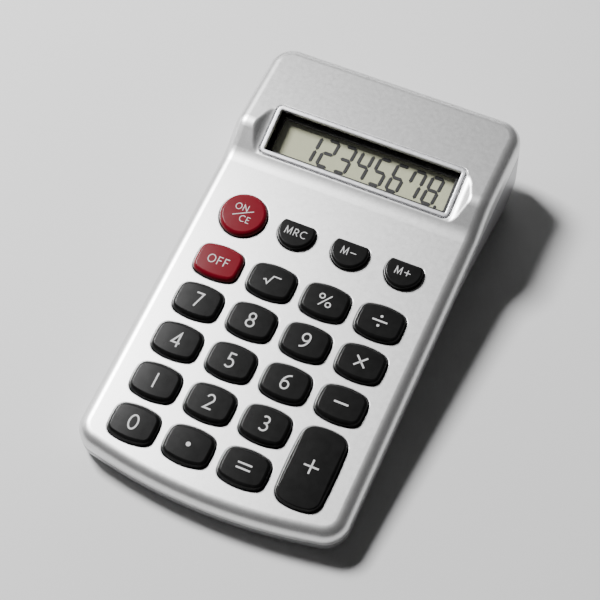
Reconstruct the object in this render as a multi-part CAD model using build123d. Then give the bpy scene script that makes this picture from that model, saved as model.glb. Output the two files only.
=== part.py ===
"""Slim desk calculator with a raised display hood, as separate pieces in millimetres.

The pieces are modelled in the case frame: the keypad face is z = 0, x runs to the right,
y runs from the user to the display, and y = 0 is the first row of keys. Each one is then set
down on the desk, where z = 0 is under the rubber feet and the case is centred on x and y.
"""

import math
import os

from build123d import *

# ---- Case outside, mm -----------------------------------------------------------------------
HALF_WIDTH = 33.4
NEAR_Y, FAR_Y = -11.3, 108.3
NEAR_BOW_RADIUS = 135.0
CORNER_RADIUS = 6.0
RIM_RADIUS, BACK_EDGE_RADIUS = 3.0, 2.0
THIN_Z = -8.6                                    # back of the thin half
HUMP_START, RIDGE = (64.0, THIN_Z), (97.4, -20.9)
RIDGE_FAR, FAR_TOP = (104.5, -18.0), (111.0, -4.0)
RAMP_FOOT, HOOD_CREST = (74.3, 0.0), (82.3, 3.85)
HOOD_FALL = math.tan(math.radians(5.0))
SEAM_Z, SEAM_GAP = -4.6, 0.22
WALL_TOP, WALL_SIDE, WALL_BACK = 2.0, 2.0, 1.8
LIP_CLEARANCE, LIP_THICKNESS, LIP_HEIGHT = 0.08, 0.7, 1.0
DESK_TILT = 6.4                                  # degrees the face leans to the user
DESK_CLEARANCE_Z = -9.95                         # desk under the first key row

# ---- Keys -----------------------------------------------------------------------------------
PITCH_X, PITCH_Y = 13.8, 11.25
MEMORY_Y = 4 * PITCH_Y + 14.0
HOLE_WIDTH, HOLE_HEIGHT, HOLE_CORNER = 12.0, 9.66, 2.6
HOLE_BOW, HOLE_SIDE_BOW = 1.1, 0.35
PLUS_Y, PLUS_HEIGHT, PLUS_CORNER = 5.8, 20.7, 3.5
ON_RADIUS = 6.07
MEMORY_RADIUS, MEMORY_RISE, MEMORY_CHORD, MEMORY_CORNER = 4.83, 0.5, 3.17, 1.1
KEY_GAP = 0.25
KEY_TOP, KEY_CROWN = 1.6, 160.0
KEY_SHOULDER, MEMORY_SHOULDER = 1.3, 0.8
KEY_WALL = 1.3
KEY_TRAVEL = 1.0
FLANGE_TOP, FLANGE_BOTTOM, FLANGE_WIDTH = -2.1, -2.9, 0.7
PLUNGER_RADIUS = 1.5

# ---- Circuit board and dome mat -------------------------------------------------------------
BOARD_HALF_WIDTH, BOARD_NEAR, BOARD_FAR = 26.9, -6.6, 70.0
BOARD_TOP, BOARD_BOTTOM = -4.6, -5.6
MAT_TOP, MAT_FAR = -4.2, 66.0
DOME_TOP, DOME_RADIUS, DOME_CROWN_RADIUS, DOME_WALL = -3.0, 2.9, 1.9, 0.4
BOARD_SCREWS = [(-13.8, 5.63), (0, 5.63), (-13.8, 28.13), (13.8, 28.13), (-13.8, 52.3), (13.8, 52.3)]
BOSS_RADIUS = 1.35
CASE_SCREWS = [(-29.3, 6.0), (29.3, 6.0), (-29.3, 56.0), (29.3, 56.0)]

# ---- Display, in its own leaning frame ------------------------------------------------------
DISPLAY_Y, DISPLAY_Z, DISPLAY_LEAN = 83.1, 2.24, 11.4
SCOOP_HALF_WIDTH, SCOOP_SLOPE, SCOOP_START, SCOOP_RADIUS = 26.0, 36.0, 72.1, 1.2
BEZEL_WIDTH, BEZEL_HEIGHT, BEZEL_BAR, BEZEL_CORNER = 49.6, 13.2, 1.05, 1.4
BEZEL_PROUD, BEZEL_GAP, BEZEL_DEPTH = 0.25, 0.35, 1.0
LENS_TOP, MASK_TOP, GLASS_TOP = -1.6, -2.4, -3.2
VIEW_WIDTH, VIEW_HEIGHT = 45.3, 8.9
DIGIT_HEIGHT, DIGIT_WIDTH, DIGIT_PITCH, DIGIT_BAR = 7.9, 3.6, 4.6, 0.86
DIGIT_SLANT = math.tan(math.radians(6.0))

# ---- Battery and its door -------------------------------------------------------------------
CELL_Y, CELL_Z, CELL_RADIUS, CELL_LENGTH, CELL_NUB = 95.5, -12.0, 5.25, 43.6, 0.9
WELL_X, WELL_NEAR, WELL_FAR, WELL_TOP = 25.4, 86.9, 103.9, -5.9
DOOR_X, DOOR_FAR, DOOR_GAP = 25.6, 102.6, 0.25
HINGE_Y, HINGE_Z, BARREL_RADIUS, TRUNNION_RADIUS = 89.0, -16.75, 0.9, 0.6

FOOT_RADIUS, FAR_FOOT_RADIUS = 3.0, 2.2
BIG = 300.0


# ---- Small helpers --------------------------------------------------------------------------
def block(x0, x1, y0, y1, z0, z1):
    """A box between two corners."""
    return Pos((x0 + x1) / 2, (y0 + y1) / 2, (z0 + z1) / 2) * Box(x1 - x0, y1 - y0, z1 - z0)


def rod(x, y, z0, z1, radius):
    """A round bar along z."""
    return Pos(x, y, (z0 + z1) / 2) * Cylinder(radius, z1 - z0)


def crossbar(y, z, x0, x1, radius):
    """A round bar along x."""
    return Pos((x0 + x1) / 2, y, z) * Rot(0, 90, 0) * Cylinder(radius, x1 - x0)


def slab(sketch, z0, z1):
    """A flat sketch made solid between two heights."""
    return Pos(0, 0, z0) * extrude(sketch, z1 - z0)


def group(shapes):
    """Several separate solids kept as one node."""
    return Compound(children=[solid for shape in shapes for solid in shape.solids()])


def mirrored(shape):
    """A shape and its twin on the other side of the case."""
    return [shape, mirror(shape, Plane.YZ)]


# ---- Case outside ---------------------------------------------------------------------------
def plan_outline(inset):
    """The case from above: straight sides, a bowed near end and round corners."""
    half, near, far = HALF_WIDTH - inset, NEAR_Y + inset, FAR_Y - inset
    bow = NEAR_BOW_RADIUS - inset
    corner_y = near + bow - math.sqrt(bow**2 - half**2)
    with BuildSketch() as plan:
        with BuildLine():
            Polyline((half, corner_y), (half, far), (-half, far), (-half, corner_y))
            ThreePointArc((-half, corner_y), (0, near), (half, corner_y))
        make_face()
        fillet(plan.vertices(), CORNER_RADIUS - inset)
    return plan.sketch


def side_profile():
    """The case from the side, running past both ends."""
    start, end = NEAR_Y - 20, FAR_Y + 20
    end_z = HOOD_CREST[1] - HOOD_FALL * (end - HOOD_CREST[0])
    corners = [(start, 0), RAMP_FOOT, HOOD_CREST, (end, end_z), (end, FAR_TOP[1])]
    corners += [FAR_TOP, RIDGE_FAR, RIDGE, HUMP_START, (start, THIN_Z)]
    radii = {RAMP_FOOT: 9.0, HOOD_CREST: 5.5, RIDGE_FAR: 6.0, RIDGE: 8.0, HUMP_START: 30.0}
    with BuildSketch() as profile:
        with BuildLine():
            Polyline(*corners, close=True)
        make_face()
        for corner, radius in radii.items():
            fillet(profile.vertices().sort_by_distance((*corner, 0))[0], radius)
    return profile.sketch


def along_x(sketch):
    """A side profile carried across the whole width of the case."""
    return Plane.YZ * extrude(sketch, BIG / 2, both=True)


def outer_edges(body, low, high):
    """Edges that run round the case between two heights."""
    core = slab(plan_outline(0.05), -BIG, BIG)
    edges = [e for e in body.edges() if low < (e @ 0.5).Z < high]
    return [e for e in edges if not core.is_inside(e @ 0.5)]


def make_scoop():
    """The sloping dish cut into the hood for the display."""
    reach = 6.0
    spread = reach / math.tan(math.radians(SCOOP_SLOPE))
    half = SCOOP_HALF_WIDTH
    with BuildSketch() as section:
        with BuildLine():
            Polyline((-half, 0), (half, 0), (half + spread, reach), (-half - spread, reach), close=True)
        make_face()
        fillet(section.vertices().group_by(Axis.Y)[0], 3.0)
    dish = DISPLAY * (Plane.XZ * extrude(section.sketch, 30, both=True))
    return dish & block(-BIG, BIG, SCOOP_START, BIG, -BIG, BIG)


def is_scoop_edge(edge):
    """True for a curved edge of the dish beside the display; the soft edge runs on from it."""
    middle = edge @ 0.5
    beside = SCOOP_HALF_WIDTH - 1.5 < abs(middle.X) < HALF_WIDTH - 2.4 and middle.Z > 0.5
    return beside and SCOOP_START < middle.Y and edge.geom_type != GeomType.LINE


def make_outside():
    """The closed outer shape of the case with the dish for the display."""
    body = along_x(side_profile()) & slab(plan_outline(0), -BIG / 2, BIG / 2)
    body = fillet(outer_edges(body, -1.0, 10.0), RIM_RADIUS)
    body = fillet(outer_edges(body, -30.0, -7.0), BACK_EDGE_RADIUS)
    body -= make_scoop()
    return fillet([edge for edge in body.edges() if is_scoop_edge(edge)], SCOOP_RADIUS)


def make_inside():
    """The room inside the walls."""
    top = along_x(offset(side_profile(), -WALL_TOP)) & block(-BIG, BIG, -BIG, BIG, SEAM_Z, BIG)
    back = along_x(offset(side_profile(), -WALL_BACK)) & block(-BIG, BIG, -BIG, BIG, -BIG, SEAM_Z)
    return (top + back) & slab(plan_outline(WALL_SIDE), -BIG / 2, BIG / 2)


DISPLAY = Pos(0, DISPLAY_Y, DISPLAY_Z) * Rot(DISPLAY_LEAN, 0, 0)
OUTSIDE = make_outside()
INSIDE = make_inside()
TURNED = Rot(DESK_TILT, 0, 0) * OUTSIDE
DESK_LIFT = -DESK_CLEARANCE_Z * math.cos(math.radians(DESK_TILT))
ON_DESK = Pos(0, -TURNED.bounding_box().center().Y, DESK_LIFT) * Rot(DESK_TILT, 0, 0)


# ---- Keys -----------------------------------------------------------------------------------
def bowed_outline(height, corner, grow):
    """A rectangle with bowed sides and round corners."""
    x, y = HOLE_WIDTH / 2 + grow, height / 2 + grow
    left, low = HOLE_SIDE_BOW - x, HOLE_BOW - y
    with BuildSketch() as shape:
        with BuildLine():
            ThreePointArc((left, -low), (0, y), (-left, -low))
            ThreePointArc((-left, -low), (x, 0), (-left, low))
            ThreePointArc((-left, low), (0, -y), (left, low))
            ThreePointArc((left, low), (-x, 0), (left, -low))
        make_face()
        fillet(shape.vertices(), corner + grow)
    return shape.sketch


def plain_outline(grow):
    """Outline of an ordinary key."""
    return bowed_outline(HOLE_HEIGHT, HOLE_CORNER, grow)


def plus_outline(grow):
    """Outline of the tall plus key."""
    return bowed_outline(PLUS_HEIGHT, PLUS_CORNER, grow)


def on_outline(grow):
    """Outline of the round key that switches on."""
    return Sketch() + Circle(ON_RADIUS + grow)


def memory_outline(grow):
    """A round outline with a flat top."""
    radius = MEMORY_RADIUS + grow
    with BuildSketch() as shape:
        with Locations((0, MEMORY_RISE)):
            Circle(radius)
        with Locations((0, MEMORY_CHORD + grow + radius)):
            Rectangle(4 * radius, 2 * radius, mode=Mode.SUBTRACT)
        fillet(shape.vertices(), max(MEMORY_CORNER + grow, 0.3))
    return shape.sketch


def key_places():
    """Name, middle, outline and shoulder radius of every key."""
    rows = [
        ["key_0", "key_point", "key_equals"],
        ["key_1", "key_2", "key_3"],
        ["key_4", "key_5", "key_6", "key_minus"],
        ["key_7", "key_8", "key_9", "key_multiply"],
        ["key_off", "key_sqrt", "key_percent", "key_divide"],
    ]
    keys = []
    for row, names in enumerate(rows):
        for column, name in enumerate(names):
            x, y = (column - 1.5) * PITCH_X, row * PITCH_Y
            keys.append((name, x, y, plain_outline, KEY_SHOULDER))
    keys.append(("key_plus", 1.5 * PITCH_X, PLUS_Y, plus_outline, KEY_SHOULDER))
    keys.append(("key_on_ce", -1.5 * PITCH_X, MEMORY_Y, on_outline, KEY_SHOULDER))
    for column, name in enumerate(["key_mrc", "key_m_minus", "key_m_plus"]):
        keys.append((name, (column - 0.5) * PITCH_X, MEMORY_Y, memory_outline, MEMORY_SHOULDER))
    return keys


def make_key(outline, shoulder):
    """A hollow key cap with a domed top, a flange below the face and a middle plunger."""
    body = slab(outline(-KEY_GAP), FLANGE_BOTTOM, KEY_TOP)
    body = fillet(body.faces().sort_by(Axis.Z)[-1].edges(), shoulder)
    body &= Pos(0, 0, KEY_TOP - KEY_CROWN) * Rot(90, 0, 0) * Sphere(KEY_CROWN)
    body += slab(outline(FLANGE_WIDTH), FLANGE_BOTTOM, FLANGE_TOP)
    room = slab(outline(-KEY_GAP - KEY_WALL), FLANGE_BOTTOM - 1, KEY_TOP - 2 * KEY_WALL)
    return body - (room - rod(0, 0, -BIG, BIG, PLUNGER_RADIUS))


# ---- Display --------------------------------------------------------------------------------
def plate(width, height, z0, z1, corner=0.3, window=None, shift=0.0):
    """A flat plate of the display, with an optional window."""
    face = Sketch() + RectangleRounded(width, height, corner)
    if window:
        face -= RectangleRounded(*window, 0.3)
    return slab(Pos(0, shift) * face, z0, z1)


def segment(x, y, length, upright):
    """One bar of a digit, pointed at both ends."""
    half, bar = length / 2, DIGIT_BAR / 2
    points = [(-half, 0), (bar - half, bar), (half - bar, bar), (half, 0)]
    points += [(half - bar, -bar), (bar - half, -bar)]
    if upright:
        points = [(py, px) for px, py in points]
    slanted = [(x + px + (y + py) * DIGIT_SLANT, y + py) for px, py in points]
    return make_face(Polyline(*slanted, close=True).edges())


def make_digits(z0, z1):
    """The dark segments of the number 12345678 with a point at its end."""
    half_x, half_y = (DIGIT_WIDTH - DIGIT_BAR) / 2, (DIGIT_HEIGHT - DIGIT_BAR) / 2
    across, up = 2 * half_x - 0.12, half_y - 0.12
    bars = {
        "a": (0, half_y, across, False), "g": (0, 0, across, False), "d": (0, -half_y, across, False),
        "b": (half_x, half_y / 2, up, True), "c": (half_x, -half_y / 2, up, True),
        "f": (-half_x, half_y / 2, up, True), "e": (-half_x, -half_y / 2, up, True),
    }
    lit = ["bc", "abged", "abgcd", "fgbc", "afgcd", "afgedc", "abcf", "abcdefg"]
    shapes = []
    for place, letters in enumerate(lit):
        middle = (place - 7) * DIGIT_PITCH + 18.1
        for letter in letters:
            x, y, length, upright = bars[letter]
            shapes.append(Pos(middle, 0) * segment(x, y, length, upright))
    point = Pos(18.1 + DIGIT_WIDTH / 2 + 0.25, -half_y - 0.1) * Circle(DIGIT_BAR / 2 - 0.02)
    return [slab(shape, z0, z1) for shape in shapes + [point]]


def display_parts():
    """The display stack from the bezel down to its clamp."""
    aperture = (BEZEL_WIDTH - 2 * BEZEL_BAR, BEZEL_HEIGHT - 2 * BEZEL_BAR)
    bezel = plate(BEZEL_WIDTH, BEZEL_HEIGHT, -BEZEL_DEPTH, BEZEL_PROUD, BEZEL_CORNER, aperture)
    rim = bezel.faces().sort_by(Axis.Z)[-1].edges()
    parts = {
        "display_bezel": chamfer(rim, 0.15),
        "display_lens": plate(50.4, 14.0, MASK_TOP, LENS_TOP),
        "display_mask": plate(50.4, 14.0, GLASS_TOP, MASK_TOP, window=(VIEW_WIDTH, VIEW_HEIGHT)),
        "lcd_front_polariser": plate(48.0, 11.4, -3.35, GLASS_TOP, shift=0.6),
        "lcd_front_glass": plate(50.0, 12.6, -4.05, -3.35, shift=0.6),
        "lcd_digits": group(make_digits(-4.14, -4.06)),
        "lcd_seal": plate(50.0, 12.6, -4.15, -4.05, window=(48.4, 11.0), shift=0.6),
        "lcd_rear_glass": plate(50.0, 13.8, -4.85, -4.15),
        "lcd_reflector": plate(48.0, 12.0, -5.0, -4.85),
        "lcd_clamp": plate(60.6, 12.6, -5.8, -5.0, 1.0, (42.0, 8.0)),
    }
    for x in (-28.7, 28.7):
        parts["lcd_clamp"] -= rod(x, 0, -6, -4, 0.75)
    screw = rod(28.7, 0, -6.5, -5.8, 1.3) + rod(28.7, 0, -5.8, -2.6, 0.55)
    parts["lcd_clamp_screws"] = group(mirrored(screw))
    return {name: DISPLAY * shape for name, shape in parts.items()}


def make_ribbon():
    """The printed film that joins the glass to the circuit board."""
    with BuildSketch() as strip:
        with BuildLine():
            path = [(67.6, BOARD_TOP + 0.08), (70.2, BOARD_TOP + 0.08), (73.6, -4.0), (78.15, -2.86)]
            Polyline(*path)
        trace(line_width=0.12)
    return Plane.YZ * extrude(strip.sketch, 20, both=True)


# ---- Shells ---------------------------------------------------------------------------------
def make_top_case(keys):
    """The face, the hood and the upper half of the side walls."""
    above = block(-BIG, BIG, -BIG, BIG, SEAM_Z, BIG)
    case = (OUTSIDE & above) - INSIDE
    housing = plate(54.6, 17.2, -5.0, 3.0)
    for x in (-28.7, 28.7):
        housing += rod(x, 0, -5.0, 3.0, 1.6)
    housing = DISPLAY * housing
    case += housing & (OUTSIDE & block(-BIG, BIG, -BIG, BIG, -BIG, BIG))
    for x, y in CASE_SCREWS:
        case += rod(x, y, SEAM_Z, -WALL_TOP, 1.8)
        case -= rod(x, y, SEAM_Z - 1, -2.5, 0.7)
    for x, y in BOARD_SCREWS:
        case += rod(x, y, BOARD_TOP, -WALL_TOP, BOSS_RADIUS)
        case -= rod(x, y, BOARD_TOP - 1, -2.5, 0.5)
    pockets = plate(BEZEL_WIDTH + 2 * BEZEL_GAP, BEZEL_HEIGHT + 2 * BEZEL_GAP, -BEZEL_DEPTH, 5, 1.7)
    pockets += plate(48.0, 11.6, -3.0, 1.0)
    pockets += plate(50.8, 14.4, -9.0, LENS_TOP)
    pockets += block(-22, 22, -12, -6, -9, -3.4)
    for x in (-28.7, 28.7):
        pockets += rod(x, 0, -6, -2.4, 0.57)
    case -= DISPLAY * pockets
    for _, x, y, outline, _ in keys:
        case -= Pos(x, y) * slab(outline(0), -4, 2)
    return case


def well_walls():
    """Walls round the cell and the ceiling over it."""
    outer = block(-WELL_X, WELL_X, WELL_NEAR, WELL_FAR, -BIG, WELL_TOP)
    room = block(1 - WELL_X, WELL_X - 1, WELL_NEAR + 1, WELL_FAR - 1, -BIG, WELL_TOP - 0.8)
    walls = outer - room
    for side in (-1, 1):
        x0, x1 = sorted((side * (WELL_X - 1.2), side * (WELL_X + 0.2)))
        walls -= block(x0, x1, CELL_Y - 1.1, CELL_Y + 1.1, -8.75, -8.2)
    return walls & OUTSIDE


def make_bottom_case():
    """The back shell with the battery well, screw posts and a lip inside the seam."""
    below = block(-BIG, BIG, -BIG, BIG, -BIG, SEAM_Z - SEAM_GAP)
    case = (OUTSIDE & below) - INSIDE
    inset = WALL_SIDE + LIP_CLEARANCE
    ring = plan_outline(inset) - plan_outline(inset + LIP_THICKNESS)
    foot_ring = plan_outline(WALL_SIDE - 0.5) - plan_outline(inset + LIP_THICKNESS)
    lip = slab(ring, SEAM_Z - 1.5, SEAM_Z + LIP_HEIGHT) + slab(foot_ring, SEAM_Z - 1.5, SEAM_Z - SEAM_GAP)
    for x, y in CASE_SCREWS:
        lip -= rod(x, y, SEAM_Z, 0, 2.1)
    case += lip & OUTSIDE
    bearing = block(DOOR_X + DOOR_GAP, DOOR_X + 2.2, HINGE_Y - 1.6, HINGE_Y + 1.6, -BIG, HINGE_Z + 1.6)
    for shape in mirrored(bearing & OUTSIDE):
        case += shape
    case += well_walls()
    case -= block(-DOOR_X - DOOR_GAP, DOOR_X + DOOR_GAP, WELL_NEAR + 1, DOOR_FAR + DOOR_GAP, -BIG, -14.6)
    case -= crossbar(HINGE_Y, HINGE_Z, -DOOR_X - 1.6, DOOR_X + 1.6, TRUNNION_RADIUS + 0.05)
    for x, y in CASE_SCREWS:
        case += rod(x, y, THIN_Z + 1, SEAM_Z, 2.25)
        case -= rod(x, y, THIN_Z - 2, -6.6, 1.6)
        case -= rod(x, y, -7, SEAM_Z + 1, 0.9)
    return case


def make_door():
    """The battery door: a piece of the ridge with a hinge barrel at its near edge."""
    reach = block(-DOOR_X, DOOR_X, HINGE_Y, DOOR_FAR, -BIG, -14.0)
    door = (OUTSIDE & reach) - INSIDE
    door += crossbar(HINGE_Y, HINGE_Z, -DOOR_X, DOOR_X, BARREL_RADIUS)
    door += crossbar(HINGE_Y, HINGE_Z, -DOOR_X - 1.4, DOOR_X + 1.4, TRUNNION_RADIUS)
    for place in range(4):
        door -= crossbar(94.0 + 1.6 * place, RIDGE[1] + 0.45, -6, 6, 0.55)
    return door


# ---- Feet and inner pieces ------------------------------------------------------------------
def feet(grow):
    """The four rubber feet in the case frame, or the pockets they are glued into."""
    near_y = (ON_DESK * Pos(0, -4.0, THIN_Z)).position.Y
    far_y = (ON_DESK * Pos(0, RIDGE[0], RIDGE[1])).position.Y
    shapes = mirrored(rod(24.0, near_y, 0, 1.3, FOOT_RADIUS + grow))
    shapes += mirrored(rod(28.9, far_y, 0, 1.35, FAR_FOOT_RADIUS + grow))
    return [ON_DESK.inverse() * shape for shape in shapes]


def board_outline(inset, far):
    """The circuit board or mat from above."""
    width, length = 2 * (BOARD_HALF_WIDTH - inset), far - BOARD_NEAR - inset
    return Pos(0, far - length / 2) * RectangleRounded(width, length, 6.0 - inset)


def make_board():
    """The circuit board with its screw holes."""
    board = slab(board_outline(0, BOARD_FAR), BOARD_BOTTOM, BOARD_TOP)
    for x, y in BOARD_SCREWS:
        board -= rod(x, y, BOARD_BOTTOM - 1, BOARD_TOP + 1, 0.7)
    return board


def make_dome_mat(keys):
    """The rubber sheet with a hollow dome under every key."""
    mat = slab(board_outline(0.3, MAT_FAR), BOARD_TOP, MAT_TOP)
    for x, y in BOARD_SCREWS:
        mat -= rod(x, y, BOARD_TOP - 1, MAT_TOP + 1, BOSS_RADIUS + 0.2)
    height = DOME_TOP - BOARD_TOP
    for _, x, y, _, _ in keys:
        middle = BOARD_TOP + height / 2
        mat += Pos(x, y, middle) * Cone(DOME_RADIUS, DOME_CROWN_RADIUS, height)
    for _, x, y, _, _ in keys:
        room = height - DOME_WALL
        hollow = Cone(DOME_RADIUS - DOME_WALL, DOME_CROWN_RADIUS - DOME_WALL, room)
        mat -= Pos(x, y, BOARD_TOP + room / 2) * hollow
    return mat


def board_pieces(keys):
    """Small pieces soldered or printed on the circuit board."""
    pads = [rod(x, y, BOARD_TOP, BOARD_TOP + 0.05, 1.5) for _, x, y, _, _ in keys]
    blob = Pos(0, 39.4, BOARD_BOTTOM) * Sphere(9.6)
    blob = (Pos(0, 0, 8.8) * blob) & block(-20, 20, 20, 60, -BIG, BOARD_BOTTOM)
    resistors = [block(x, x + 1.6, 61.2, 62.0, BOARD_BOTTOM - 0.5, BOARD_BOTTOM) for x in (-9, -5, -1)]
    capacitors = [block(x, x + 2.0, 61.0, 62.3, BOARD_BOTTOM - 0.9, BOARD_BOTTOM) for x in (4, 9)]
    screws = [
        rod(x, y, BOARD_BOTTOM - 0.7, BOARD_BOTTOM, 1.2) + rod(x, y, BOARD_BOTTOM, -2.7, 0.48)
        for x, y in BOARD_SCREWS
    ]
    return {
        "contact_pads": group(pads),
        "chip_blob": blob,
        "resistors": group(resistors),
        "capacitors": group(capacitors),
        "board_screws": group(screws),
    }


def make_case_screw(x, y):
    """A cross-head screw up through the back shell."""
    screw = rod(x, y, -7.7, -6.6, 1.45) + rod(x, y, -6.6, -2.7, 0.67)
    for turn in (0, 90):
        screw -= Pos(x, y, -7.7) * Rot(0, 0, turn) * Box(1.9, 0.4, 1.0)
    return screw


def battery_parts():
    """The cell, its contacts and the two leads."""
    half = CELL_LENGTH / 2
    cell = crossbar(CELL_Y, CELL_Z, 1.2 - half, 1.2 + half, CELL_RADIUS)
    cell = chamfer(cell.edges(), 0.4)
    cell += crossbar(CELL_Y, CELL_Z, 1.2 + half, 1.2 + half + CELL_NUB, 1.9)
    right, left = 1.2 + half + CELL_NUB, 1.2 - half
    plus = block(right, WELL_X - 1, 91.5, 99.5, -16, -8)
    tab = block(WELL_X - 1, WELL_X + 1.0, CELL_Y - 1, CELL_Y + 1, -8.65, -8.3)
    minus = block(1 - WELL_X, 1.3 - WELL_X, 91.5, 99.5, -16, -8)
    coil = Helix(pitch=0.95, height=left - 0.75 - (2.0 - WELL_X), radius=3.0)
    section = Plane(coil @ 0, z_dir=coil % 0) * Circle(0.3)
    spring = sweep(section, coil, is_frenet=True)
    spring = Pos(1.72 - WELL_X, CELL_Y, CELL_Z) * Rot(0, 90, 0) * spring
    route = [(26.9, CELL_Y, -8.48), (27.6, 93.0, -8.5), (27.6, 86.0, -8.6), (22.0, 78.0, -7.9)]
    route += [(20.0, 72.0, -6.4), (20.0, 66.5, -6.1)]
    path = Spline(*route)
    lead = sweep(Plane(path @ 0, z_dir=path % 0) * Circle(0.45), path)
    return {
        "battery_cell": cell,
        "battery_spring": spring,
        "battery_plus_plate": plus + tab,
        "battery_minus_plate": minus + mirror(tab, Plane.YZ),
        "battery_lead_red": lead,
        "battery_lead_black": mirror(lead, Plane.YZ),
    }


# ---- All the pieces -------------------------------------------------------------------------
def make_parts():
    """Every node of the calculator in the case frame."""
    keys = key_places()
    bottom = make_bottom_case()
    for pocket in feet(0.05):
        bottom -= pocket
    parts = {
        "top_case": make_top_case(keys),
        "bottom_case": bottom,
        "battery_door": make_door(),
        "rubber_feet": group(feet(0)),
        "circuit_board": make_board(),
        "dome_mat": make_dome_mat(keys),
        "lcd_ribbon": make_ribbon(),
        "case_screws": group([make_case_screw(x, y) for x, y in CASE_SCREWS]),
    }
    parts.update(display_parts())
    parts.update(board_pieces(keys))
    parts.update(battery_parts())
    for name, x, y, outline, shoulder in keys:
        parts[name] = Pos(x, y) * make_key(outline, shoulder)
    return parts


os.makedirs("parts", exist_ok=True)
for node, shape in make_parts().items():
    export_step(ON_DESK * shape, f"parts/{node}.step")
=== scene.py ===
"""The looks of the desk calculator: paint, legends, display, light and camera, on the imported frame."""

import math

import bmesh
import bpy
from mathutils import Euler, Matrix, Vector
from mathutils.bvhtree import BVHTree


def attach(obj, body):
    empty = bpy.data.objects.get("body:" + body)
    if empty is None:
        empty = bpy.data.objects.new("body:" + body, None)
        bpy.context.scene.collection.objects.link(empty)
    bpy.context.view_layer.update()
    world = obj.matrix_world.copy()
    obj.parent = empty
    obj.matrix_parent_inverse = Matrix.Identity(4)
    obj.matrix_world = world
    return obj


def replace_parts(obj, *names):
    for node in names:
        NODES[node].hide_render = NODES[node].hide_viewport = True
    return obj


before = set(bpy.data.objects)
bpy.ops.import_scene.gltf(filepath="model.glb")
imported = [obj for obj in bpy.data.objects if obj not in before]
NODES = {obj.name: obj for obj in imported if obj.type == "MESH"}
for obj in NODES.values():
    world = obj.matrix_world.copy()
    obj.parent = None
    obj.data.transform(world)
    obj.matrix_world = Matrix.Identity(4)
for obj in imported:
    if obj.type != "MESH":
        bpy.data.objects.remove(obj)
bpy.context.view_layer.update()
MM = 0.001

# The keypad leans to the user; the keys' own axes follow it.
LEAN = math.radians(6.4)
ACROSS = Vector((1, 0, 0))
UP_KEYPAD = Vector((0, math.cos(LEAN), math.sin(LEAN)))
OUT_OF_KEYPAD = Vector((0, -math.sin(LEAN), math.cos(LEAN)))

# The keypad plane, as a distance from the origin along OUT_OF_KEYPAD.
CASE_LIFT, CASE_SHIFT = 9.888, 48.884
KEYPAD_HEIGHT = (CASE_LIFT * math.cos(LEAN) + CASE_SHIFT * math.sin(LEAN)) * MM
RED_START, RED_FULL = 0.0002, 0.0005

# The display window: its lean from the keypad, corner radius, rim and the share of the rim's first cut.
DISPLAY_LEAN = math.radians(11.4)
GLASS_CORNER, RIM, RIM_CUT, CORNER_STEPS = 0.0006, 0.00015, 0.3, 6

CAMERA_AT = (0.08967, -0.20401, 0.34790)
CAMERA_TURN = (33.115, -0.0603, 24.1631)
CAMERA_LENS = 101.93
SENSOR = 36.0


# ---- Materials ------------------------------------------------------------------------------
class Look:
    """A node material built up step by step."""

    def __init__(self, name, **values):
        self.material = bpy.data.materials.new(name)
        self.material.use_nodes = True
        self.tree = self.material.node_tree
        self.shader = self.tree.nodes["Principled BSDF"]
        for socket, value in values.items():
            self.shader.inputs[socket.replace("_", " ")].default_value = value
        self.height = None

    def node(self, kind, **values):
        """A node with its properties and sockets set."""
        made = self.tree.nodes.new(kind)
        for key, value in values.items():
            name = key.replace("_", " ")
            if name in made.inputs:
                made.inputs[name].default_value = value
            else:
                setattr(made, key, value)
        return made

    def link(self, a, b):
        """Joins two sockets."""
        self.tree.links.new(a, b)

    def place(self):
        """Object coordinates, in metres."""
        return self.node("ShaderNodeTexCoord").outputs["Object"]

    def noise(self, scale, detail=2.0, rough=0.5):
        """Fractal noise over the object."""
        made = self.node("ShaderNodeTexNoise", Scale=scale, Detail=detail, Roughness=rough)
        self.link(self.place(), made.inputs["Vector"])
        return made.outputs["Fac"]

    def cells(self, scale):
        """A random value for each small cell."""
        made = self.node("ShaderNodeTexVoronoi", Scale=scale)
        self.link(self.place(), made.inputs["Vector"])
        return made.outputs["Color"]

    def ramp(self, source, low, high, start=0.0, end=1.0):
        """Maps a value to a range."""
        made = self.node("ShaderNodeMapRange")
        for socket, value in (("From Min", start), ("From Max", end), ("To Min", low), ("To Max", high)):
            made.inputs[socket].default_value = value
        self.link(source, made.inputs["Value"])
        return made.outputs["Result"]

    def colours(self, source, first, second, start=0.3, end=0.7):
        """Blends two colours by a value, into the base colour."""
        made = self.node("ShaderNodeMix", data_type="RGBA")
        made.inputs[6].default_value = (*first, 1)
        made.inputs[7].default_value = (*second, 1)
        self.link(self.ramp(source, 0, 1, start, end), made.inputs["Factor"])
        self.link(made.outputs[2], self.shader.inputs["Base Color"])

    def bump(self, source, strength, distance=0.0002):
        """Adds a layer of relief."""
        made = self.node("ShaderNodeBump", Strength=strength, Distance=distance)
        self.link(source, made.inputs["Height"])
        if self.height:
            self.link(self.height, made.inputs["Normal"])
        self.height = made.outputs["Normal"]
        self.link(self.height, self.shader.inputs["Normal"])

    def soften(self, radius):
        """Rounds sharp edges in the shading."""
        made = self.node("ShaderNodeBevel", samples=6, Radius=radius)
        self.height = made.outputs["Normal"]
        self.link(self.height, self.shader.inputs["Normal"])

    def vary(self, socket, source, low, high):
        """Drives a socket between two values."""
        self.link(self.ramp(source, low, high, 0.25, 0.75), self.shader.inputs[socket])


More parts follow.
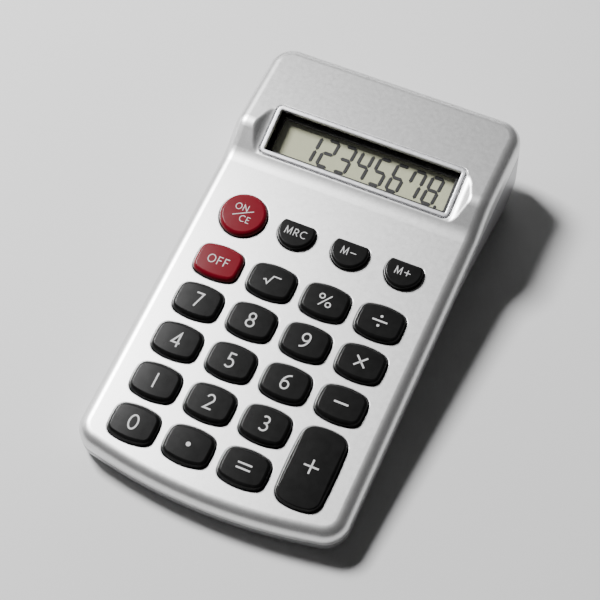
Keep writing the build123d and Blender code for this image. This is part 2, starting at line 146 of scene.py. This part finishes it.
def silver(name, first, second, metallic=0.88, rough=(0.36, 0.40)):
    """Satin silver paint with fine flakes."""
    look = Look(name, Metallic=metallic)
    look.soften(0.0004)
    look.colours(look.cells(9000), first, second, 0.0, 1.0)
    look.vary("Roughness", look.noise(900), *rough)
    look.bump(look.noise(5200, 3.0), 0.10, 0.00003)
    return look.material


def moulded(name, first, second, rough=(0.3, 0.45), grain=0.06, scale=2600, **values):
    """Moulded plastic or rubber with a fine grain."""
    look = Look(name, **values)
    look.soften(0.00018)
    look.colours(look.noise(500), first, second)
    look.vary("Roughness", look.noise(700), *rough)
    look.bump(look.noise(scale), grain, 0.00004)
    return look.material


def see_through(name, tint, alpha, rough):
    """Clear plastic or glass that mostly lets light straight through."""
    look = Look(name, Alpha=alpha)
    look.colours(look.noise(60), tint, tuple(0.97 * c for c in tint))
    look.vary("Roughness", look.noise(300), *rough)
    return look.material


def metal(name, colour, rough, metallic=1.0):
    """Bare or plated metal with fine scratches."""
    look = Look(name, Metallic=metallic)
    look.colours(look.noise(800), colour, tuple(0.8 * c for c in colour))
    look.vary("Roughness", look.noise(1500), *rough)
    return look.material


KEY_GLOSS = 0.22
SILVER_FACE = silver("silver_face", (0.88, 0.88, 0.88), (0.72, 0.72, 0.72))
# The bottom case and battery door use the same silver paint as the top case, in a darker copy: painted
# shade.
SHADED_SILVER_BACK = silver("silver_back", (0.50, 0.50, 0.51), (0.40, 0.40, 0.41))
BEZEL = silver("bezel_silver", (0.86, 0.86, 0.89), (0.78, 0.78, 0.81), 0.6, (0.3, 0.4))
KEY_BLACK = moulded("key_black", (0.006, 0.006, 0.006), (0.009, 0.009, 0.009), (0.23, 0.25),
                    Specular_IOR_Level=KEY_GLOSS)
LEGEND = moulded("legend_white", (0.62, 0.62, 0.62), (0.56, 0.56, 0.56), (0.5, 0.6), 0.02)
SHROUD = moulded("black_shroud", (0.006, 0.006, 0.006), (0.010, 0.010, 0.010), (0.5, 0.6))
LCD_BACK = moulded("lcd_back", (0.56, 0.57, 0.38), (0.53, 0.54, 0.36), (0.6, 0.7), 0.03)
LCD_DARK = moulded("lcd_dark", (0.010, 0.010, 0.011), (0.014, 0.014, 0.015), (0.6, 0.7), 0.01)
SEAL = moulded("glue_seal", (0.25, 0.25, 0.22), (0.2, 0.2, 0.18))
RUBBER = moulded("foot_rubber", (0.02, 0.02, 0.02), (0.03, 0.03, 0.03), (0.7, 0.85), 0.2)
MAT = moulded("mat_rubber", (0.6, 0.6, 0.57), (0.5, 0.5, 0.48), (0.6, 0.8), 0.1)
BOARD = moulded("board", (0.30, 0.17, 0.05), (0.26, 0.14, 0.04), (0.35, 0.5))
EPOXY = moulded("epoxy", (0.01, 0.01, 0.01), (0.02, 0.02, 0.02), (0.15, 0.3))
CERAMIC = moulded("tan_ceramic", (0.42, 0.28, 0.15), (0.36, 0.24, 0.12))
RIBBON = moulded("ribbon_film", (0.20, 0.12, 0.04), (0.16, 0.10, 0.03), (0.3, 0.4))
JACKET = moulded("cell_jacket", (0.03, 0.06, 0.22), (0.02, 0.05, 0.18), (0.2, 0.3))
RED_WIRE = moulded("red_wire", (0.45, 0.01, 0.01), (0.38, 0.01, 0.01))
BLACK_WIRE = moulded("black_wire", (0.01, 0.01, 0.01), (0.02, 0.02, 0.02))
STEEL = metal("screw_steel", (0.55, 0.55, 0.56), (0.25, 0.4))
NICKEL = metal("nickel", (0.66, 0.63, 0.58), (0.2, 0.3))
LENS = see_through("clear_lens", (0.12, 0.12, 0.12), 0.03, (0.02, 0.04))
GLASS = see_through("clear_glass", (0.10, 0.10, 0.09), 0.03, (0.03, 0.05))


def key_red():
    """Red over the top and shoulders of a key, black down its side wall."""
    look = Look("key_red", Specular_IOR_Level=KEY_GLOSS)
    look.soften(0.00018)
    look.vary("Roughness", look.noise(700), 0.23, 0.25)
    along = look.node("ShaderNodeVectorMath", operation="DOT_PRODUCT")
    along.inputs[1].default_value = OUT_OF_KEYPAD
    look.link(look.place(), along.inputs[0])
    look.colours(along.outputs["Value"], (0.008, 0.006, 0.006), (0.16, 0.004, 0.012),
                 KEYPAD_HEIGHT + RED_START, KEYPAD_HEIGHT + RED_FULL)
    look.bump(look.noise(2600), 0.06, 0.00004)
    return look.material


def dress(material, *names):
    """Gives a material to CAD nodes."""
    for name in names:
        mesh = NODES[name].data
        mesh.materials.clear()
        mesh.materials.append(material)


KEYS = sorted(name for name in NODES if name.startswith("key_"))
dress(SILVER_FACE, "top_case")
# Painted shade: the bottom case and battery door take the darker copy of the silver paint.
dress(SHADED_SILVER_BACK, "bottom_case", "battery_door")
dress(BEZEL, "display_bezel")
dress(KEY_BLACK, *KEYS)
dress(key_red(), "key_on_ce", "key_off")
dress(SHROUD, "display_mask", "lcd_clamp")
dress(LCD_BACK, "lcd_reflector", "lcd_rear_glass")
dress(LCD_DARK, "lcd_digits")
dress(SEAL, "lcd_seal")
dress(RUBBER, "rubber_feet")
dress(MAT, "dome_mat")
dress(BOARD, "circuit_board")
dress(EPOXY, "chip_blob", "resistors", "contact_pads")
dress(CERAMIC, "capacitors")
dress(RIBBON, "lcd_ribbon")
dress(JACKET, "battery_cell")
dress(RED_WIRE, "battery_lead_red")
dress(BLACK_WIRE, "battery_lead_black")
dress(STEEL, "case_screws", "board_screws", "lcd_clamp_screws")
dress(NICKEL, "battery_spring", "battery_plus_plate", "battery_minus_plate")
dress(LENS, "display_lens")


# ---- Display window -------------------------------------------------------------------------
def display_window():
    """The polarised front glass as one clear sheet with a turned-down, softly rounded rim."""
    lean = LEAN + DISPLAY_LEAN
    up, out = Vector((0, math.cos(lean), math.sin(lean))), Vector((0, -math.sin(lean), math.cos(lean)))
    glass = [v.co for v in NODES["lcd_front_glass"].data.vertices]
    film = [v.co for v in NODES["lcd_front_polariser"].data.vertices]
    low, high = (Vector((pick(p.x for p in glass), pick(p.dot(up) for p in glass))) for pick in (min, max))
    base, top = min(p.dot(out) for p in glass), max(p.dot(out) for p in film)
    sheet = bmesh.new()
    rings = []
    for inset, height in ((0.0, base), (0.0, top - RIM), (RIM * RIM_CUT, top - RIM * RIM_CUT), (RIM, top)):
        ring = []
        for corner in range(4):
            right, far = corner in (0, 3), corner in (0, 1)
            x = (high.x - GLASS_CORNER) if right else (low.x + GLASS_CORNER)
            y = (high.y - GLASS_CORNER) if far else (low.y + GLASS_CORNER)
            for step in range(CORNER_STEPS + 1):
                turn = math.radians(90 * (corner + step / CORNER_STEPS))
                reach = GLASS_CORNER - inset
                spot = ACROSS * (x + reach * math.cos(turn)) + up * (y + reach * math.sin(turn))
                spot += out * height
                ring.append(sheet.verts.new(spot))
        rings.append(ring)
    for first, second in zip(rings, rings[1:]):
        for i in range(len(first)):
            j = (i + 1) % len(first)
            sheet.faces.new((first[i], first[j], second[j], second[i]))
    sheet.faces.new(rings[-1])
    mesh = bpy.data.meshes.new("lcd_window")
    sheet.to_mesh(mesh)
    sheet.free()
    mesh.materials.append(GLASS)
    window = bpy.data.objects.new("lcd_window", mesh)
    bpy.context.scene.collection.objects.link(window)
    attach(window, "case")
    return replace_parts(window, "lcd_front_glass", "lcd_front_polariser")


display_window()


# ---- Legends --------------------------------------------------------------------------------
def arc(x, y, rx, ry, start, end, steps=14):
    """Points along part of an ellipse; angles in degrees."""
    turn = [math.radians(start + (end - start) * i / steps) for i in range(steps + 1)]
    return [(x + rx * math.cos(a), y + ry * math.sin(a)) for a in turn]


# Each glyph fits a box one unit high with its foot at y = 0; width comes first.
GLYPHS = {
    "0": (0.62, [arc(0.31, 0.5, 0.27, 0.46, 90, 450, 28)]),
    "1": (0.10, [[(0.05, 0.0), (0.05, 1.0)]]),
    "2": (0.56, [arc(0.27, 0.70, 0.23, 0.26, 165, -28) + [(0.05, 0.04), (0.54, 0.04)]]),
    "3": (0.54, [arc(0.24, 0.74, 0.22, 0.22, 140, -90) + arc(0.24, 0.27, 0.25, 0.24, 90, -145)]),
    "4": (0.60, [[(0.44, 0.0), (0.44, 0.96), (0.04, 0.28), (0.58, 0.28)]]),
    "5": (0.54, [[(0.48, 0.96), (0.12, 0.96), (0.10, 0.56)] + arc(0.23, 0.31, 0.26, 0.28, 100, -140)]),
    "6": (0.58, [arc(0.30, 0.29, 0.24, 0.26, 0, 360, 24), arc(0.56, 0.35, 0.50, 0.62, 92, 178)]),
    "7": (0.56, [[(0.04, 0.96), (0.52, 0.96), (0.20, 0.0)]]),
    "8": (0.58, [arc(0.29, 0.74, 0.20, 0.22, 0, 360, 22), arc(0.29, 0.27, 0.25, 0.24, 0, 360, 24)]),
    "9": (0.58, [arc(0.28, 0.71, 0.24, 0.26, 0, 360, 24), arc(0.02, 0.65, 0.50, 0.62, 2, -88)]),
    "O": (0.92, [arc(0.46, 0.5, 0.41, 0.47, 0, 360, 30)]),
    "F": (0.56, [[(0.08, 0.0), (0.08, 0.95), (0.54, 0.95)], [(0.08, 0.52), (0.48, 0.52)]]),
    "N": (0.78, [[(0.08, 0.0), (0.08, 0.98), (0.70, 0.02), (0.70, 1.0)]]),
    "C": (0.78, [arc(0.50, 0.5, 0.43, 0.46, 52, 308, 22)]),
    "E": (0.56, [[(0.52, 0.95), (0.08, 0.95), (0.08, 0.05), (0.52, 0.05)], [(0.08, 0.52), (0.46, 0.52)]]),
    "M": (0.96, [[(0.08, 0.0), (0.16, 0.98), (0.48, 0.10), (0.80, 0.98), (0.88, 0.0)]]),
    "R": (0.66, [[(0.08, 0.0), (0.08, 0.95), (0.30, 0.95)] + arc(0.30, 0.70, 0.25, 0.25, 90, -90)
                 + [(0.10, 0.45)], [(0.30, 0.45), (0.62, 0.0)]]),
    "+": (0.90, [[(0.05, 0.5), (0.85, 0.5)], [(0.45, 0.1), (0.45, 0.9)]]),
    "-": (0.86, [[(0.05, 0.5), (0.81, 0.5)]]),
}
GLYPH_GAP = 0.20


def word(text, height, x, y, stroke):
    """Strokes of a word centred on a point, in millimetres."""
    width = sum(GLYPHS[c][0] for c in text) + GLYPH_GAP * (len(text) - 1)
    left = x - width * height / 2
    made = []
    for c in text:
        for path in GLYPHS[c][1]:
            made.append(([(left + px * height, y + (py - 0.5) * height) for px, py in path], stroke))
        left += (GLYPHS[c][0] + GLYPH_GAP) * height
    return made


def line(points, stroke):
    """One stroke in millimetres."""
    return [(points, stroke)]


def loop(x, y, radius, stroke, steps):
    """A round stroke in millimetres."""
    return line(arc(x, y, radius, radius, 0, 360, steps), stroke)


# Heights and stroke widths of the print, in millimetres.
DIGIT_HEIGHT, DIGIT_STROKE = 3.8, 0.40
OFF_HEIGHT, OFF_STROKE = 2.2, 0.22
MEMORY_HEIGHT, MEMORY_STROKE, MEMORY_RISE = 1.95, 0.20, 0.55
ON_HEIGHT, ON_STROKE, ON_RISE = 1.75, 0.18, 1.45
SIGN_STROKE, MINUS_STROKE, THIN_STROKE, DOT_STROKE = 0.42, 0.46, 0.30, 0.34


def sign_strokes():
    """The legends that aren't digits."""
    divide = line([(-1.85, 0), (1.85, 0)], SIGN_STROKE)
    for side in (1, -1):
        divide += loop(0, 1.25 * side, 0.17, DOT_STROKE, 10)
    equals = [stroke for y in (0.62, -0.62) for stroke in line([(-1.75, y), (1.75, y)], SIGN_STROKE)]
    percent = loop(-1.05, 0.9, 0.6, THIN_STROKE, 20) + loop(1.05, -0.9, 0.6, THIN_STROKE, 20)
    tick = [(-1.9, -0.35), (-1.35, -0.1), (-0.7, -1.15), (0.2, 1.15), (2.1, 1.15)]
    on_ce = word("ON", ON_HEIGHT, -0.9, ON_RISE, ON_STROKE) + word("CE", ON_HEIGHT, 1.0, -ON_RISE, ON_STROKE)
    return {
        "key_point": loop(0, 0, 0.28, 0.56, 12),
        "key_equals": equals,
        "key_plus": line([(-1.8, 0), (1.8, 0)], SIGN_STROKE) + line([(0, -1.8), (0, 1.8)], SIGN_STROKE),
        "key_minus": line([(-1.75, 0), (1.75, 0)], MINUS_STROKE),
        "key_multiply": line([(-1.3, -1.3), (1.3, 1.3)], SIGN_STROKE)
        + line([(-1.3, 1.3), (1.3, -1.3)], SIGN_STROKE),
        "key_divide": divide,
        "key_percent": percent + line([(-1.2, -1.6), (1.2, 1.6)], THIN_STROKE),
        "key_sqrt": line(tick, THIN_STROKE),
        "key_off": word("OFF", OFF_HEIGHT, 0, 0, OFF_STROKE),
        "key_mrc": word("MRC", MEMORY_HEIGHT, 0, MEMORY_RISE, MEMORY_STROKE),
        "key_m_minus": word("M-", MEMORY_HEIGHT, 0, MEMORY_RISE, MEMORY_STROKE),
        "key_m_plus": word("M+", MEMORY_HEIGHT, 0, MEMORY_RISE, MEMORY_STROKE),
        "key_on_ce": on_ce + line([(-2.3, -1.25), (2.3, 1.25)], MEMORY_STROKE),
    }


def resampled(points, step=0.35):
    """The same stroke with points close enough together to follow a crowned key."""
    made = [points[0]]
    for a, b in zip(points, points[1:]):
        parts = max(1, math.ceil(math.dist(a, b) / step))
        for i in range(1, parts + 1):
            made.append((a[0] + (b[0] - a[0]) * i / parts, a[1] + (b[1] - a[1]) * i / parts))
    return made


def ribbon(points, width):
    """Left and right edges of a stroke with square ends and mitred bends."""
    closed = math.dist(points[0], points[-1]) < 1e-6
    if closed:
        points = points[:-1]
    count = len(points)
    sides = []
    for i, (x, y) in enumerate(points):
        before = points[i - 1] if i or closed else None
        after = points[(i + 1) % count] if i < count - 1 or closed else None
        ways = []
        if before:
            ways.append((Vector((x, y)) - Vector(before)).normalized())
        if after:
            ways.append((Vector(after) - Vector((x, y))).normalized())
        way = sum(ways, Vector((0, 0))).normalized()
        reach = width / 2 / max(way.dot(ways[0]), 0.35)
        side = Vector((-way.y, way.x)) * reach
        sides.append((Vector((x, y)) + side, Vector((x, y)) - side))
    return sides, closed


def key_middle(name):
    """Middle of a key, measured along the keypad's own axes."""
    middle = Vector()
    for axis in (ACROSS, UP_KEYPAD, OUT_OF_KEYPAD):
        reach = [vertex.co.dot(axis) for vertex in NODES[name].data.vertices]
        middle += axis * (min(reach) + max(reach)) / 2
    return middle


def lay_legend(name, strokes):
    """Prints strokes on a key's crowned top."""
    cap = NODES[name]
    tree = BVHTree.FromObject(cap, bpy.context.evaluated_depsgraph_get())
    middle = key_middle(name)
    shell = bmesh.new()
    for points, width in strokes:
        sides, closed = ribbon(resampled(points), width)
        rows = []
        for left, right in sides:
            row = []
            for share in (0.0, 0.5, 1.0):
                spot = left.lerp(right, share)
                above = middle + ACROSS * spot.x * MM + UP_KEYPAD * spot.y * MM + OUT_OF_KEYPAD * 0.02
                hit = tree.ray_cast(above, -OUT_OF_KEYPAD)
                row.append(shell.verts.new(hit[0] + OUT_OF_KEYPAD * PRINT_LIFT))
            rows.append(row)
        pairs = list(zip(rows, rows[1:])) + ([(rows[-1], rows[0])] if closed else [])
        for first, second in pairs:
            for k in (0, 1):
                shell.faces.new((first[k], second[k], second[k + 1], first[k + 1]))
    bmesh.ops.recalc_face_normals(shell, faces=shell.faces)
    for face in shell.faces:
        if face.normal.dot(OUT_OF_KEYPAD) < 0:
            face.normal_flip()
    mesh = bpy.data.meshes.new("legend_" + name[4:])
    shell.to_mesh(mesh)
    shell.free()
    piece = bpy.data.objects.new("legend_" + name[4:], mesh)
    bpy.context.scene.collection.objects.link(piece)
    mesh.materials.append(LEGEND)
    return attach(piece, name)


PRINT_LIFT = 0.00002
SIGNS = sign_strokes()
for key in KEYS:
    strokes = SIGNS.get(key) or word(key[4:], DIGIT_HEIGHT, 0, 0, DIGIT_STROKE)
    lay_legend(key, strokes)


# ---- Floor, light and camera ----------------------------------------------------------------
def make_floor():
    """A plain pale floor."""
    bpy.ops.mesh.primitive_plane_add(size=6, location=(0, 0, 0))
    floor = bpy.context.object
    floor.name = "floor"
    look = Look("floor_white", Roughness=0.9)
    look.colours(look.noise(3), (0.80, 0.80, 0.80), (0.78, 0.78, 0.78))
    floor.data.materials.append(look.material)


def area_light(name, place, target, size, power):
    """A soft rectangular lamp aimed at a point."""
    data = bpy.data.lights.new(name, "AREA")
    data.shape = "RECTANGLE"
    data.size, data.size_y = size
    data.energy = power
    lamp = bpy.data.objects.new(name, data)
    lamp.location = place
    lamp.rotation_euler = (Vector(target) - Vector(place)).to_track_quat("-Z", "Y").to_euler()
    bpy.context.scene.collection.objects.link(lamp)
    return lamp


LAMPS = [
    ("top_light", (-0.46, 0.16, 0.64), (0.2, 0.2), 12.5),
    ("left_light", (-0.72, 0.05, 0.20), (0.4, 0.2), 0.8),
    ("back_light", (-0.25, 0.75, 0.28), (0.5, 0.12), 0.7),
]
WORLD_STRENGTH = 0.04


def make_light():
    """Soft light from the user's left and from behind the display."""
    world = bpy.data.worlds.new("studio")
    world.use_nodes = True
    world.node_tree.nodes["Background"].inputs["Color"].default_value = (1, 1, 1, 1)
    world.node_tree.nodes["Background"].inputs["Strength"].default_value = WORLD_STRENGTH
    bpy.context.scene.world = world
    for name, place, size, power in LAMPS:
        area_light(name, place, (0, 0, 0), size, power)


def make_camera():
    """The camera at the usual view of the object."""
    data = bpy.data.cameras.new("camera")
    data.sensor_width = SENSOR
    data.lens = CAMERA_LENS
    data.clip_start = 0.01
    camera = bpy.data.objects.new("camera", data)
    camera.location = CAMERA_AT
    camera.rotation_euler = Euler([math.radians(a) for a in CAMERA_TURN])
    bpy.context.scene.collection.objects.link(camera)
    bpy.context.scene.camera = camera


make_floor()
make_light()
make_camera()
